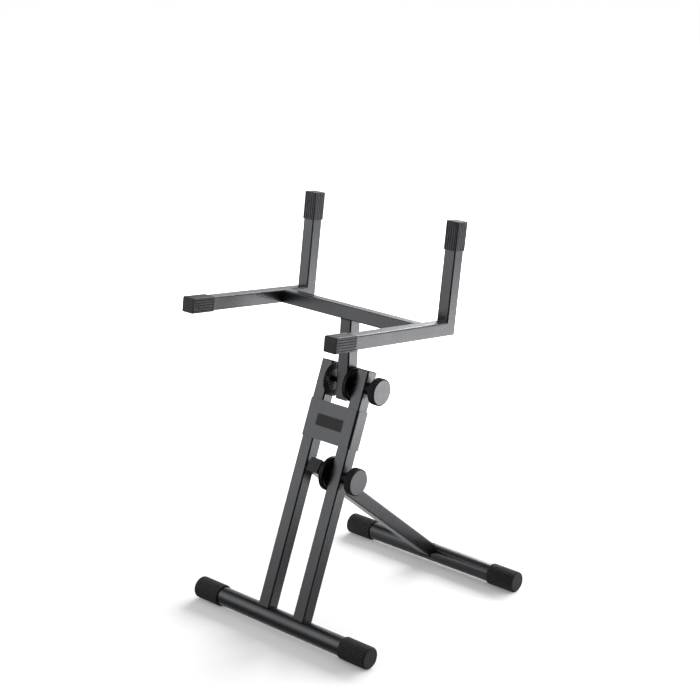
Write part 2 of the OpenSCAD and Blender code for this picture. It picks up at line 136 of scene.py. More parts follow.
def start_finish(name, specular=0.5, metallic=0.0):
    finish = bpy.data.materials.new(name)
    finish.use_nodes = True
    tree = finish.node_tree
    shader = tree.nodes["Principled BSDF"]
    shader.inputs["Specular IOR Level"].default_value = specular
    shader.inputs["Specular Tint"].default_value = cool_gloss
    shader.inputs["Metallic"].default_value = metallic
    return finish, tree, shader


print("gloss tint:", cool_gloss[:3])

# %% [markdown]
# ### Patterns
#
# Unevenness comes from a noise in the piece's own coordinates, which keeps the grain fixed to the piece when
# a joint moves. A range turns the noise into a value, such as how dull the paint is. Where wear follows the
# shape, as on the crest of a rib, the piece carries a mark of its own, and the finish reads it.

# %% Helpers for patterns
def grain(tree, size, detail=2.0, stretch=(1, 1, 1)):
    """Noise with lumps of about this size, in metres. Stretch draws the lumps out along an axis."""
    place = tree.nodes.new("ShaderNodeTexCoord")
    turn = tree.nodes.new("ShaderNodeMapping")
    turn.inputs["Scale"].default_value = [1 / s for s in stretch]
    lumps = tree.nodes.new("ShaderNodeTexNoise")
    lumps.inputs["Scale"].default_value = 1 / size
    lumps.inputs["Detail"].default_value = detail
    tree.links.new(place.outputs["Object"], turn.inputs["Vector"])
    tree.links.new(turn.outputs["Vector"], lumps.inputs["Vector"])
    return lumps.outputs["Fac"]


def mark(tree, name):
    """A value that a piece carries on its own points or faces, such as 1 on a rib's crest."""
    carried = tree.nodes.new("ShaderNodeAttribute")
    carried.attribute_name = name
    return carried.outputs["Fac"]


def spread(tree, source, low, high, start=0.3, stop=0.7):
    """Turns a pattern that runs from start to stop into a value between low and high."""
    ranged = tree.nodes.new("ShaderNodeMapRange")
    ranged.inputs["From Min"].default_value = start
    ranged.inputs["From Max"].default_value = stop
    ranged.inputs["To Min"].default_value = low
    ranged.inputs["To Max"].default_value = high
    tree.links.new(source, ranged.inputs["Value"])
    return ranged.outputs["Result"]


def combined(tree, operation, first, second):
    """One value from two, such as their product or the larger of them."""
    both = tree.nodes.new("ShaderNodeMath")
    both.operation = operation
    tree.links.new(first, both.inputs[0])
    tree.links.new(second, both.inputs[1])
    return both.outputs[0]

# %% [markdown]
# ### Colour, gloss and bumps
#
# A pattern shows in three ways. It runs between two colours, it makes some patches duller than others, and
# it raises small bumps. The bumps are only shaded, because real geometry that fine would take millions of
# faces. Shapes that show in the outline, such as ribs and teeth, are modelled.

# %% Helpers for colour, gloss and bumps
def two_tone(tree, pattern, first, second):
    """Colour that runs from first to second as the pattern runs from 0 to 1."""
    tones = tree.nodes.new("ShaderNodeMix")
    tones.data_type = "RGBA"
    tones.inputs["A"].default_value = (*first, 1)
    tones.inputs["B"].default_value = (*second, 1)
    tree.links.new(pattern, tones.inputs["Factor"])
    return tones.outputs["Result"]


def painted_over(tree, pattern, below, tone):
    """The colour below, with this tone over it where the pattern is 1."""
    tones = tree.nodes.new("ShaderNodeMix")
    tones.data_type = "RGBA"
    tones.inputs["B"].default_value = (*tone, 1)
    tree.links.new(pattern, tones.inputs["Factor"])
    tree.links.new(below, tones.inputs["A"])
    return tones.outputs["Result"]


def uneven_gloss(tree, shader, pattern, roughness):
    """Roughness that wanders a little round this value."""
    wander = spread(tree, pattern, roughness - 0.03, roughness + 0.04)
    tree.links.new(wander, shader.inputs["Roughness"])


def relief(tree, shader, pattern, depth, below=None):
    """Bumps of this depth, in metres, on top of any bumps that are already there."""
    bumps = tree.nodes.new("ShaderNodeBump")
    bumps.inputs["Distance"].default_value = depth
    tree.links.new(pattern, bumps.inputs["Height"])
    if below:
        tree.links.new(below, bumps.inputs["Normal"])
    tree.links.new(bumps.outputs["Normal"], shader.inputs["Normal"])
    return bumps.outputs["Normal"]

# %% [markdown]
# ### Powder coat
#
# The steel is coated with satin black powder, baked on. Up close it has an orange-peel skin with lumps about
# a millimetre across, over slower waves a few millimetres long, and hands and boxes have left it a little
# duller in patches. The paint itself is almost black, so nearly all of its tone is the studio seen in its
# satin gloss. Where a tube was cut, the coat is thin on the edge, and the bevels there carry a mark that lets
# them show a trace of grey. One noise could stand for all of it, but skin, waves and patches differ in size,
# so each has its own. Over the rough weld beads the same powder bakes out duller.

# %% Make the powder coat
paint_dark, paint_light, thin_coat = (0.002, 0.002, 0.0022), (0.011, 0.011, 0.0114), (0.06, 0.06, 0.058)


def coated_steel(name, roughness, specular):
    finish, tree, shader = start_finish(name, specular)
    flecks = grain(tree, 3 * mm, detail=2)
    paint_tone = two_tone(tree, spread(tree, flecks, 0, 1), paint_dark, paint_light)
    chips = spread(tree, grain(tree, 1.5 * mm, detail=3), 0, 1, 0.55, 0.7)
    chipped = combined(tree, "MULTIPLY", mark(tree, "cut_edge"), chips)
    worn_tone = painted_over(tree, chipped, paint_tone, thin_coat)
    tree.links.new(worn_tone, shader.inputs["Base Color"])
    uneven_gloss(tree, shader, grain(tree, 60 * mm, detail=4), roughness)
    waves = relief(tree, shader, flecks, 0.14 * mm)
    skin = relief(tree, shader, grain(tree, 1.1 * mm, detail=2), 0.035 * mm, below=waves)
    relief(tree, shader, grain(tree, 0.25 * mm, detail=1), 0.006 * mm, below=skin)
    print(name, len(tree.nodes), "nodes")
    return finish


powder_coat = coated_steel("powder_coat", roughness=0.28, specular=0.5)
bead_coat = coated_steel("bead_coat", roughness=0.5, specular=0.16)

# %% [markdown]
# ### Rubber
#
# The feet and the arm ends wear moulded rubber caps. Rubber is duller than paint, with a fine sandy grain,
# and the crests of the ribs get polished and a little greyer where they rub. The grooves stay dark and dull.
# The caps carry a "crest" mark, up to 1 on a crest and 0 in a groove, which steers the tone and the polish.
# The feet stand in dust and are duller all over than the arms, so one function makes two rubbers.

# %% Make the rubber
rubber_in_groove, rubber_on_crest = (0.003, 0.003, 0.0032), (0.014, 0.014, 0.0143)
groove_roughness, crest_roughness = 0.75, 0.4


def ribbed_rubber(name, specular):
    finish, tree, shader = start_finish(name, specular)
    patches = spread(tree, grain(tree, 9 * mm, detail=4), 0.5, 1)
    rubbed = combined(tree, "MULTIPLY", mark(tree, "crest"), patches)
    worn_tone = two_tone(tree, rubbed, rubber_in_groove, rubber_on_crest)
    tree.links.new(worn_tone, shader.inputs["Base Color"])
    polish = spread(tree, rubbed, groove_roughness, crest_roughness, 0, 1)
    tree.links.new(polish, shader.inputs["Roughness"])
    coarse = relief(tree, shader, grain(tree, 0.8 * mm, detail=3), 0.03 * mm)
    relief(tree, shader, grain(tree, 0.3 * mm, detail=1), 0.012 * mm, below=coarse)
    print(name, len(tree.nodes), "nodes")
    return finish


foot_rubber = ribbed_rubber("foot_rubber", specular=0.3)
arm_rubber = ribbed_rubber("arm_rubber", specular=0.36)

# %% [markdown]
# ### Moulded plastics
#
# The clutch discs, the knobs, the plugs and the knobs' faces are moulded black plastic with different polish:
# the discs are smooth so that they slide, the grips are matt so that they hold, and the faces are satin. They
# could be five materials made by hand, but one function keeps them a family, with the tone, the polish and
# the size of the mould's texture as its inputs. The label plate is printed dark inside a thin tan border,
# which its faces carry as a mark.

# %% Make the plastics
def moulded_plastic(name, tone, roughness, texture, specular, border=None):
    finish, tree, shader = start_finish(name, specular)
    flow = grain(tree, 14 * mm, detail=3)
    darker = [0.75 * c for c in tone]
    colour = two_tone(tree, spread(tree, flow, 0, 1), darker, tone)
    if border:
        colour = painted_over(tree, mark(tree, "border"), colour, border)
    tree.links.new(colour, shader.inputs["Base Color"])
    uneven_gloss(tree, shader, flow, roughness)
    relief(tree, shader, grain(tree, texture, detail=2), 0.05 * texture)
    print(name, "texture", texture / mm, "mm")
    return finish


clutch_plastic = moulded_plastic("clutch_plastic", (0.003, 0.003, 0.0033), 0.3, 0.5 * mm, specular=0.13)
grip_plastic = moulded_plastic("grip_plastic", (0.004, 0.004, 0.0042), 0.5, 0.35 * mm, specular=0.12)
face_plastic = moulded_plastic("face_plastic", (0.014, 0.014, 0.0145), 0.3, 0.6 * mm, specular=0.5)
plug_plastic = moulded_plastic("plug_plastic", (0.005, 0.005, 0.0053), 0.5, 0.4 * mm, specular=0.26)
plate_plastic = moulded_plastic(
    "plate_plastic", (0.006, 0.005, 0.004), 0.34, 0.9 * mm, specular=0.14, border=(0.05, 0.042, 0.03)
)

# %% [markdown]
# ### Metals
#
# The bolts are zinc plated and the threaded inserts are turned brass. Plating is bright with soft cloudy
# patches, and turned brass keeps fine rings, which a noise stretched round the bolt stands for. Being metals,
# they take their whole colour from reflection, so only the tone and the polish vary.

# %% Make the metals
def plated_metal(name, tone, dull_tone, roughness, stretch):
    finish, tree, shader = start_finish(name, metallic=1.0)
    cloud = spread(tree, grain(tree, 5 * mm, detail=4), 0, 1)
    tree.links.new(two_tone(tree, cloud, tone, dull_tone), shader.inputs["Base Color"])
    polish = spread(tree, cloud, roughness - 0.06, roughness + 0.1, 0, 1)
    tree.links.new(polish, shader.inputs["Roughness"])
    relief(tree, shader, grain(tree, 0.5 * mm, stretch=stretch), 0.004 * mm)
    return finish


zinc_plate = plated_metal("zinc_plate", (0.52, 0.53, 0.54), (0.38, 0.38, 0.37), 0.33, stretch=(1, 1, 1))
turned_brass = plated_metal("turned_brass", (0.7, 0.52, 0.26), (0.5, 0.36, 0.17), 0.3, stretch=(1, 8, 8))
print("metals:", zinc_plate.name, turned_brass.name)

# %% [markdown]
# ## Pieces that keep their CAD shape
#
# The round foot tubes, the bolts, the washers and the sleeves are simple turned or drawn parts. They could be
# modelled again, but the frame already holds their exact shape. They only need their finish, which goes into
# their material slots.

# %% Give the kept nodes their finish
kept = {
    powder_coat: ("front_foot_tube", "rear_foot_tube"),
    zinc_plate: ("leg_bolt", "tilt_bolt"),
    plug_plastic: ("leg_spacer", "tilt_spacer", "leg_shim", "leg_washer", "tilt_washer"),
    turned_brass: ("leg_knob_insert", "tilt_knob_insert"),
}
for finish, nodes in kept.items():
    for node in nodes:
        mesh = frame["nodes"][node].data
        mesh.materials.clear()
        mesh.materials.append(finish)
print("kept as they are:", sum(len(nodes) for nodes in kept.values()))

# %% [markdown]
# ## Square tubes with eased edges
#
# The uprights, the leg, the post, the arms and the brace are cut tube and bent sheet. Their CAD shape is
# right, but its cut edges are as sharp as a knife, and paint never is. So we work on a copy: the loose
# triangles are merged, flat areas become single faces again, and every edge sharper than a tube's rounded
# corner gets a small bevel. A Bevel modifier could do that too, but here we can mark the new faces as cut
# edges for the paint.

# %% Ease the edges of the tubes
flat_within, corner_from = math.radians(0.6), math.radians(50)
tube_ease, plug_ease = 0.3 * mm, 0.45 * mm


def eased_copy(node, finish, body, ease):
    shape = bmesh.new()
    shape.from_mesh(frame["nodes"][node].data)
    bmesh.ops.remove_doubles(shape, verts=shape.verts, dist=same_point)
    bmesh.ops.dissolve_limit(
        shape, angle_limit=flat_within, verts=shape.verts, edges=shape.edges, use_dissolve_boundaries=False
    )
    corners = [e for e in shape.edges if e.is_manifold and e.calc_face_angle(0) > corner_from]
    cut_edge = shape.faces.layers.float.new("cut_edge")
    for face in rounded(shape, corners, ease, segments=2, clamp=True):
        face[cut_edge] = 1
    finish_piece(node + "_eased", shape, finish, body, [node])


for node in ("upright_left", "upright_right", "brace"):
    eased_copy(node, powder_coat, "front_frame", tube_ease)
eased_copy("leg_tube", powder_coat, "rear_leg", tube_ease)
for node in ("post_tube", "cross_tube", "arm_left", "arm_right", "back_rest_left", "back_rest_right"):
    eased_copy(node, powder_coat, "head", tube_ease)

# %% [markdown]
# ## Tube plugs
#
# Each open tube end is closed by a plastic plug. Its flange is as wide as the tube and has a soft edge, which
# makes the fine dark line between plug and tube. A new block with a bevel would serve, but the same eased
# copy does it in one line, with a rounder edge.

# %% Round the plugs
for node in ("upright_plug_left", "upright_plug_right"):
    eased_copy(node, plug_plastic, "front_frame", plug_ease)
eased_copy("leg_plug", plug_plastic, "rear_leg", plug_ease)
eased_copy("post_plug", plug_plastic, "head", plug_ease)

# %% [markdown]
# ## Turned shapes
#
# Foot caps, clutch discs and knobs are all round about an axis. On a lathe, or in a mould, their shape is one
# outline turned once round. Blender's spin operator does the same: we draw half of the section with a few
# points, as distance along the axis and radius, and spin it about X. Ribs and teeth could be cut with
# booleans, but the spin leaves the points in regular rows, so moving whole rows a little is quicker and
# gives them soft flanks.

# %% Helpers for turned shapes
def turned(outline, steps):
    """Spins (along, radius) points, in millimetres, about the X axis."""
    shape = bmesh.new()
    points = [shape.verts.new((along * mm, 0, radius * mm)) for along, radius in outline]
    lines = [shape.edges.new(pair) for pair in zip(points, points[1:])]
    bmesh.ops.spin(
        shape, geom=points + lines, cent=(0, 0, 0), axis=(1, 0, 0), angle=math.tau, steps=steps,
        use_merge=True,
    )
    bmesh.ops.remove_doubles(shape, verts=shape.verts, dist=same_point)
    print("turned:", len(shape.faces), "faces")
    return shape


def radius_of(point):
    return math.hypot(point.co.y, point.co.z)


def groove(point, count, share):
    """1 in the middle of each of count grooves, 0 on the crests. A groove takes this share of the pitch."""
    turns = math.atan2(point.co.y, point.co.z) / math.tau % 1
    from_middle = abs((turns * count) % 1 - 0.5) / (share / 2)
    return 0.5 + 0.5 * math.cos(math.pi * min(1, from_middle ** 1.6))


def press_in(point, depth):
    """Moves a point straight towards the axis."""
    keep = 1 - depth / radius_of(point)
    point.co.y *= keep
    point.co.z *= keep

# %% [markdown]
# ## Foot caps
#
# Each end of both feet has a round rubber cap, ribbed along its whole length so that it grips and so that it
# can be pulled off. It has a flat closed end with a rounded edge, 28 grooves, and a mouth that stands a
# little clear of the tube, which shows as a dark ring. We turn the outline and then press the grooves in.
# They run out over the rounded edge, which scallops the outline of the flat end.

# %% Draw the foot cap
cap_outline = [
    (0.3, 0), (0.3, 15.2), (0, 15.8), (0, 16.9), (0.25, 18.1), (0.85, 19.3), (1.8, 20.25), (3, 20.85),
    (4.4, 21), (10, 21), (18, 21), (26, 21), (34, 21), (42, 21), (50, 21), (57, 21), (60.6, 21),
    (61.5, 20.75), (61.95, 20.2), (61.95, 19.75), (61.6, 19.45), (59, 19.4), (58.9, 18.02), (4, 18.02),
    (4, 0),
]
rib_count, points_per_rib, rib_share, rib_depth = 28, 12, 0.62, 0.98 * mm
ribs_from, ribs_run_in, mouth_radius, end_wall = 17.2 * mm, 2.6 * mm, 19.9 * mm, 4 * mm
smooth_wear, rib_wear = 0.5, 0.6
print("foot cap:", len(cap_outline), "points,", rib_count, "ribs")

# %% Make the foot caps
def ribbed_foot_cap(end, side, body):
    shape = turned(cap_outline, rib_count * points_per_rib)
    crest = shape.verts.layers.float.new("crest")
    for point in shape.verts:
        radius = radius_of(point)
        if radius < ribs_from or radius < mouth_radius and point.co.x > end_wall:
            point[crest] = smooth_wear
            continue
        run_in = min(1, (radius - ribs_from) / ribs_run_in) if point.co.x < end_wall else 1
        pressed = groove(point, rib_count, rib_share) * run_in
        point[crest] = rib_wear * (1 - pressed)
        press_in(point, pressed * rib_depth)
    node = f"{end}_foot_cap_{side}"
    low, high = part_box(node)
    end_x, inwards = (low.x, 1) if side == "left" else (high.x, -1)
    at_end = Matrix.Translation((end_x, foot_axis[end].y, foot_axis[end].z))
    bmesh.ops.transform(shape, matrix=at_end @ Matrix.Diagonal((inwards, 1, 1, 1)), verts=shape.verts)
    finish_piece(f"{end}_cap_{side}_ribbed", shape, foot_rubber, body, [node], sharp_from=60)


for end, body in (("front", "front_frame"), ("rear", "rear_leg")):
    for side in ("left", "right"):
        ribbed_foot_cap(end, side, body)

# %% [markdown]
# ## Square caps on the arms and the back rests
#
# The seat's tube ends wear square rubber caps with five fine grooves along each side. A square cap has no
# axis to turn about, so it starts as a cube with rounded edges. Planes then cut it where the grooves' edges
# run, and the strips between the cuts are sunk with an inset. Booleans would work as well, but they leave
# ragged points where two cutters meet.

# %% Cut the block for a square cap
cap_size, cap_length, cap_closed = 28 * mm, 52 * mm, 3 * mm
corner_round, end_round, lip_width = 2.5 * mm, 0.9 * mm, 0.9 * mm
cap_half, groove_pitch, groove_half = cap_size / 2, cap_size / 6, 0.7 * mm
groove_depth, groove_slope, on_plane = 0.65 * mm, 0.12 * mm, 0.0005 * mm
groove_lines = [i * groove_pitch - cap_half for i in range(1, 6)]
grooves_from = cap_closed - 0.8 * mm


def cut_block():
    """A block that stands on its closed end at the origin, cut where the grooves' edges run."""
    shape = bmesh.new()
    size = Matrix.Diagonal((cap_size, cap_size, cap_length, 1))
    bmesh.ops.create_cube(shape, size=1, matrix=Matrix.Translation((0, 0, cap_length / 2)) @ size)
    upright_edges = [e for e in shape.edges if abs(e.verts[0].co.z - e.verts[1].co.z) > cap_half]
    rounded(shape, upright_edges, corner_round, segments=5)
    rim = [e for e in shape.edges if max(v.co.z for v in e.verts) < 0.1 * mm]
    rounded(shape, rim, end_round, segments=3)
    cuts = [((0, 0, grooves_from), (0, 0, 1))]
    edges_at = [line + side * groove_half for line in groove_lines for side in (-1, 1)]
    cuts += [((at, 0, 0), (1, 0, 0)) for at in edges_at] + [((0, at, 0), (0, 1, 0)) for at in edges_at]
    for spot, square_to in cuts:
        whole = shape.verts[:] + shape.edges[:] + shape.faces[:]
        bmesh.ops.bisect_plane(shape, geom=whole, dist=on_plane, plane_co=spot, plane_no=square_to)
    return shape


print("grooves at mm:", [round(line / mm, 1) for line in groove_lines])

# %% Make the square caps
def in_groove(face):
    """True for a side face that lies between the two cuts of a groove."""
    middle = face.calc_center_median()
    if abs(face.normal.z) > 0.3 or middle.z < grooves_from:
        return False
    across = middle.y if abs(face.normal.x) > 0.9 else middle.x if abs(face.normal.y) > 0.9 else None
    return across is not None and any(abs(across - line) < groove_half for line in groove_lines)


def ribbed_square_cap(name, node, place):
    shape = cut_block()
    strips = [face for face in shape.faces if in_groove(face)]
    crest = shape.verts.layers.float.new("crest")
    for point in shape.verts:
        point[crest] = 1 if point.co.z > cap_closed - 1 * mm else 0.3
    bmesh.ops.inset_region(
        shape, faces=strips, thickness=groove_slope, depth=-groove_depth, use_even_offset=True
    )
    for face in strips:
        for point in face.verts:
            point[crest] = 0
    mouth = [f for f in shape.faces if f.calc_center_median().z > cap_length - 0.01 * mm]
    bmesh.ops.inset_region(shape, faces=mouth, thickness=lip_width, depth=0, use_even_offset=True)
    bmesh.ops.transform(shape, matrix=place, verts=shape.verts)
    finish_piece(name, shape, arm_rubber, "head", [node], sharp_from=48)


arm_axis_z, arm_front, back_rest_y, back_rest_top = 132.5 * mm, 253 * mm, 60.5 * mm, 326 * mm
open_backwards, open_downwards = Matrix.Rotation(-math.pi / 2, 4, "X"), Matrix.Rotation(math.pi, 4, "X")
for side in ("left", "right"):
    low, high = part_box("arm_" + side)
    arm_x = (low.x + high.x) / 2
    at_front = on_head @ Matrix.Translation((arm_x, -arm_front, arm_axis_z)) @ open_backwards
    ribbed_square_cap(f"arm_cap_{side}_ribbed", "arm_cap_" + side, at_front)
    at_top = on_head @ Matrix.Translation((arm_x, back_rest_y, back_rest_top)) @ open_downwards
    ribbed_square_cap(f"back_rest_cap_{side}_ribbed", "back_rest_cap_" + side, at_top)

# %% [markdown]
# ## Clutch discs
#
# Each joint is locked by toothed discs that the knob squeezes together. A disc has a hub, a thin dished back,
# a thick rim, and on its face a ring of teeth round a smooth recess. The teeth could be added one by one, but
# it is simpler to turn the outline and press the gaps between them back into the face. The gaps start
# shallow beside the recess and reach their full depth a little further out, and each tooth gets rounded
# flanks.

# %% Draw the clutch disc
disc_outline = [
    (0, 4.2), (0, 10.6), (0.4, 11), (3.9, 11.9), (4.2, 12.4), (4.2, 25.6), (3.9, 26.3), (3.1, 27.2),
    (3, 27.8), (3, 31.5), (3.15, 32.1), (3.6, 32.5), (5.4, 32.5), (6.2, 32.5), (6.7, 32.35), (6.95, 32),
    (7, 31.4), (7, 27), (7, 23), (7, 20.7), (6.85, 20.2), (6.5, 19.8), (5.9, 19.5), (5.8, 19), (5.8, 10.2),
    (5.95, 9.8), (6.4, 9.6), (6.5, 9.2), (6.5, 4.6), (6.2, 4.2), (0, 4.2),
]
tooth_count, points_per_tooth, gap_share, gap_depth, rim_notch = 36, 10, 0.52, 0.9 * mm, 0.25 * mm
face_from, recess_radius, disc_rim = 5.9 * mm, 19.6 * mm, 32.4 * mm
gaps_from, gaps_run_in = 19.4 * mm, 1.2 * mm
print("disc:", len(disc_outline), "points,", tooth_count, "teeth")

# %% Make the clutch discs
def toothed_disc(name, node, body, place):
    shape = turned(disc_outline, tooth_count * points_per_tooth)
    for point in shape.verts:
        radius = radius_of(point)
        if point.co.x > face_from and radius > recess_radius:
            gap = groove(point, tooth_count, gap_share)
            point.co.x -= gap * gap_depth * min(1, (radius - gaps_from) / gaps_run_in)
            if radius > disc_rim:
                press_in(point, gap * rim_notch)
    bmesh.ops.transform(shape, matrix=place, verts=shape.verts)
    finish_piece(name, shape, clutch_plastic, body, [node], sharp_from=44)


def hub_face(node, joint, faces_right):
    """Matrix at a disc's hub face, with X towards its teeth."""
    low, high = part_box(node)
    x = low.x if faces_right else high.x
    turn = Matrix.Identity(4) if faces_right else Matrix.Rotation(math.pi, 4, "Z")
    return Matrix.Translation((x, joint_at[joint].y, joint_at[joint].z)) @ tip_back @ turn


discs = [
    ("leg_disc_fixed", "leg_clutch_fixed", "front_frame", "leg_fold", False),
    ("leg_disc_turning", "leg_clutch_turning", "rear_leg", "leg_fold", True),
    ("tilt_disc_fixed", "tilt_clutch_fixed", "front_frame", "head_tilt", False),
    ("tilt_disc_left", "tilt_clutch_left", "front_frame", "head_tilt", True),
    ("tilt_disc_turning", "tilt_clutch_turning", "head", "head_tilt", True),
]
for name, node, body, joint, faces_right in discs:
    toothed_disc(name, node, body, hub_face(node, joint, faces_right))

# %% [markdown]
# ## Hand knobs
#
# A knob is one moulding: a neck that reaches in to the upright, and a wide grip with a fluted rim. A flat cap
# closes its face, and is left bare here. The back of the grip is hollowed in a ring, as mouldings are, so
# that the plastic is even in thickness. The knob is turned like the foot caps, and its flutes are pressed in
# the same way as their ribs. The flat cap is a second turned piece, because it has a finish of its own.

# %% Draw the knob and its face
neck_length = 15.5
neck_outline = [(21.5, 0), (21.5, 4.2), (0, 4.2), (0, 10.1), (0.4, 10.5)]
grip_outline = [
    (-3.4, 10.5), (-1.8, 11.1), (-0.6, 12.3), (0, 13.6), (0.15, 14.6), (1.3, 15.4), (1.5, 16), (1.5, 20.6),
    (1.2, 21.3), (0.1, 21.9), (0, 22.6), (0, 24.1), (0.25, 24.9), (0.8, 25.4), (1.6, 25.5), (4.5, 25.5),
    (7.3, 25.5), (10.2, 25.5), (13.2, 25.5), (13.9, 25.35), (14.35, 24.9), (14.5, 24.3), (14.5, 23.8),
    (14.3, 23.55), (13.75, 23.5), (13.75, 0),
]
knob_outline = neck_outline + [(neck_length + along, radius) for along, radius in grip_outline]
face_outline = [
    (29.3, 0), (29.3, 23.4), (30.4, 23.4), (30.65, 23.3), (30.78, 23), (30.78, 22.4), (30.7, 21.9),
    (30.7, 12), (30.7, 0),
]
flute_count, points_per_flute, flute_share, flute_depth = 40, 8, 0.75, 0.78 * mm
rim_radius, flutes_from, flutes_run_in, face_steps = 24 * mm, 23.9 * mm, 1.3 * mm, 128
print("knob:", len(knob_outline), "points,", flute_count, "flutes")

# %% Make the knobs
def hand_knob(joint, word):
    low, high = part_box(word + "_knob")
    place = Matrix.Translation((low.x, joint_at[joint].y, joint_at[joint].z))
    shape = turned(knob_outline, flute_count * points_per_flute)
    for point in shape.verts:
        radius = radius_of(point)
        if radius > rim_radius:
            run_in = min(1, (radius - flutes_from) / flutes_run_in)
            press_in(point, groove(point, flute_count, flute_share) * run_in * flute_depth)
    bmesh.ops.transform(shape, matrix=place, verts=shape.verts)
    knob, body = word + "_knob", word + "_knob_turning"
    finish_piece(knob + "_fluted", shape, grip_plastic, body, [knob], sharp_from=50)
    face = turned(face_outline, face_steps)
    bmesh.ops.transform(face, matrix=place, verts=face.verts)
    finish_piece(knob + "_face", face, face_plastic, body, [knob + "_cap"])


hand_knob("leg_fold", "leg")
hand_knob("head_tilt", "tilt")

# %% [markdown]
# ## Label plate
#
# A small dark plate is stuck on the middle of the brace. Ours carries nothing. It is a thin block with
# rounded corners and a fine raised border. The border could be four thin strips, but an inset with a little
# depth makes it in one step and keeps its corners clean.

# %% Make the label plate
brace_top, brace_height = 43 * mm, 73 * mm
plate_corner, plate_edge, border_width, border_slope, border_height = (
    size * mm for size in (1.6, 0.15, 1.1, 0.15, 0.12)
)


def bare_plate(width, height, thick, down):
    """A plate on the front of the brace, with its middle this far down from the tilt joint."""
    shape = bmesh.new()
    middle_y = -(frame_tube / 2 + brace_wall + thick / 2)
    size = Matrix.Diagonal((width, thick, height, 1))
    bmesh.ops.create_cube(shape, size=1, matrix=Matrix.Translation((0, middle_y, -down)) @ size)
    corners = [e for e in shape.edges if abs(e.verts[0].co.y - e.verts[1].co.y) > 0.5 * thick]
    rounded(shape, corners, plate_corner, segments=6)
    outline = [e for e in shape.edges if max(v.co.y for v in e.verts) < middle_y]
    rounded(shape, outline, plate_edge, segments=2)
    border = shape.faces.layers.float.new("border")
    for face in shape.faces:
        face[border] = 1
    panel = [max(shape.faces, key=lambda f: -f.calc_center_median().y * f.calc_area())]
    bmesh.ops.inset_region(shape, faces=panel, thickness=border_width, depth=0, use_even_offset=True)
    bmesh.ops.inset_region(
        shape, faces=panel, thickness=border_slope, depth=-border_height, use_even_offset=True
    )
    panel[0][border] = 0
    bmesh.ops.transform(shape, matrix=on_uprights, verts=shape.verts)
    finish_piece("label_plate_bare", shape, plate_plastic, "front_frame", ["label_plate"])


bare_plate(width=63 * mm, height=23 * mm, thick=0.6 * mm, down=brace_top + brace_height / 2)

# %% [markdown]
# ## Weld beads
#
# The uprights and the leg are notched over their round feet and welded all round. A weld bead is a rope of
# metal laid in overlapping drops. A curve with a round bevel would give an even rope. So we walk round the
# joint instead, set a small ring of points at each step, a little wider or narrower than the last, and
# bridge each ring to the next. Paint covers the bead too.

# %% Helpers for a weld bead
bead_radius, bead_sides, bead_steps = 1.7 * mm, 8, 72
drop_swell, drop_pace, lump_swell, lump_size = 0.16, 1.9, 0.2, 1 / 300
tube_gap, squareness = 0.2 * mm, 12
foot_radius = (foot_box["front"][1].z - foot_box["front"][0].z) / 2


def weld_bead(name, path, body):
    shape = bmesh.new()
    rings = []
    for i, spot in enumerate(path):
        ahead = (path[(i + 1) % len(path)] - path[i - 1]).normalized()
        lump = lump_swell * noise.noise(spot / lump_size)
        drop = bead_radius * (1 + drop_swell * math.sin(i * drop_pace) + lump)
        place = Matrix.Translation(spot) @ ahead.to_track_quat("Z", "Y").to_matrix().to_4x4()
        ring = bmesh.ops.create_circle(shape, segments=bead_sides, radius=drop, cap_ends=False, matrix=place)
        rings.append(list(dict.fromkeys(edge for point in ring["verts"] for edge in point.link_edges)))
    for first, second in zip(rings, rings[1:] + rings[:1]):
        bmesh.ops.bridge_loops(shape, edges=first + second)
    finish_piece(name, shape, bead_coat, body, sharp_from=80)


def joint_path(tube, offset, into):
    """Walks round a square tube where it meets a round foot. Into carries the foot's frame into place."""
    low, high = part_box(tube)
    path = []
    for i in range(bead_steps):
        angle = math.tau * i / bead_steps
        c, s = math.cos(angle), math.sin(angle)
        corner = (abs(c) ** squareness + abs(s) ** squareness) ** (1 / squareness)
        reach = (frame_tube / 2 + tube_gap) / corner
        across, deep = reach * c, reach * s + offset
        rise = math.sqrt(max(foot_radius ** 2 - deep ** 2, 0))
        path.append(into @ Vector(((low.x + high.x) / 2 + across, deep, rise)))
    return path


print("foot radius", round(foot_radius / mm, 2), "mm")

# %% Lay the weld beads
set_back = -(on_uprights.inverted() @ foot_axis["front"]).y
over_front_foot = Matrix.Translation(foot_axis["front"]) @ tip_back
for side in ("left", "right"):
    upright_path = joint_path("upright_" + side, set_back, over_front_foot)
    weld_bead(f"upright_{side}_weld", upright_path, "front_frame")

to_leg_joint = joint_at["leg_fold"] - foot_axis["rear"]
leg_turn = math.atan2(-to_leg_joint.y, to_leg_joint.z)
over_rear_foot = Matrix.Translation(foot_axis["rear"]) @ Matrix.Rotation(leg_turn, 4, "X")
weld_bead("leg_weld", joint_path("leg_tube", 0, over_rear_foot), "rear_leg")

# %% [markdown]
# ## Floor and backdrop
#
# The stand is shown on white. A curved backdrop would do, but a flat floor and a white world are simpler. The
# floor is pale paper that catches the shadow. A little light of its own, seen only by the camera and in
# reflections, lifts the paper to white where nothing shades it, and further out, where the lamps no longer
# reach, there is more of it. The world behind is white in the same way, and gives a soft fill to everything.

# %% Helpers for the studio
def seen_directly(tree):
    """1 for what the camera, a reflection or glass looks at, 0 for light on its way to a surface."""
    path = tree.nodes.new("ShaderNodeLightPath")
    total = path.outputs["Is Camera Ray"]
    for extra in ("Is Glossy Ray", "Is Transmission Ray"):
        total = combined(tree, "MAXIMUM", total, path.outputs[extra])
    return total


